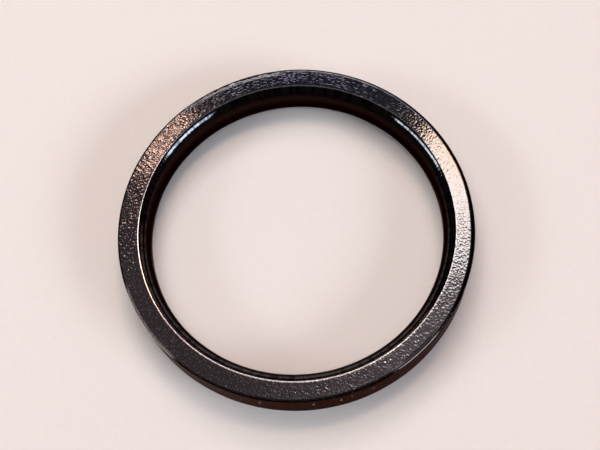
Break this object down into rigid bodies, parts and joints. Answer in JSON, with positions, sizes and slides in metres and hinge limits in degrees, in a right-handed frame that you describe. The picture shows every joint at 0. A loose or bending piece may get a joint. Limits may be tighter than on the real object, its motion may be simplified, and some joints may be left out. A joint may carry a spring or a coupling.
{
  "type": "kada bangle",
  "caption": "Plain solid black bangle: a closed ring of square-shouldered bar with flat wrinkle-coated faces, an upright outer wall and an inner wall crowned towards the wrist.",
  "frame": {"origin": "middle of the hole, at the level of the lower flat face on which the bangle lies", "axes": "+Z along the ring's axis, square to both flat faces; X and Y are any two directions across the hole, +Y away from the viewer in the picture"},
  "size_m": [0.0804, 0.0804, 0.0095],
  "materials": {
    "black_coat": "satin black baked coat, finely wrinkled on the flat faces and smoother and glossier on the walls, rubbed bright along the inner edges"
  },
  "bodies": {
    "root": {"kada": "black_coat"}
  },
  "joints": []
}
